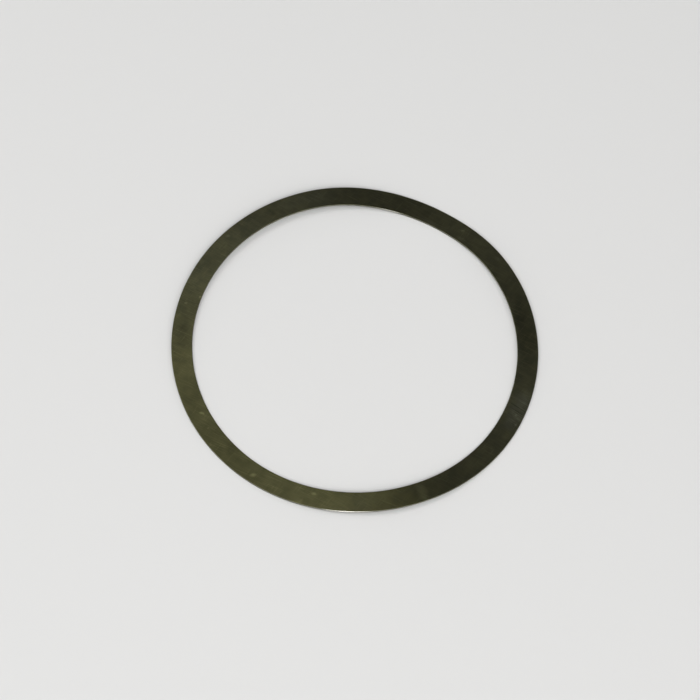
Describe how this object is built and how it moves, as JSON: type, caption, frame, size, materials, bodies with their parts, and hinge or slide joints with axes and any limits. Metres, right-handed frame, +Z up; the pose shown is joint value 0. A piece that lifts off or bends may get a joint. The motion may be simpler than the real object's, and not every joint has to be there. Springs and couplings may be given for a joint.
{
  "type": "shim",
  "caption": "Thin flat steel ring that takes up a gap between two faces, slightly warped, with a round bore and rim.",
  "frame": {"origin": "on the ring's axis, level with the surface that it lies on", "axes": "+Z up along the ring's axis, out of its upper face; -Y is the front; +X is to the right"},
  "size_m": [0.1, 0.1, 0.0023],
  "materials": {
    "steel": "cold-rolled strip with fine straight rolling lines, dulled and lightly scratched"
  },
  "bodies": {
    "root": {"shim": "steel"}
  },
  "joints": []
}
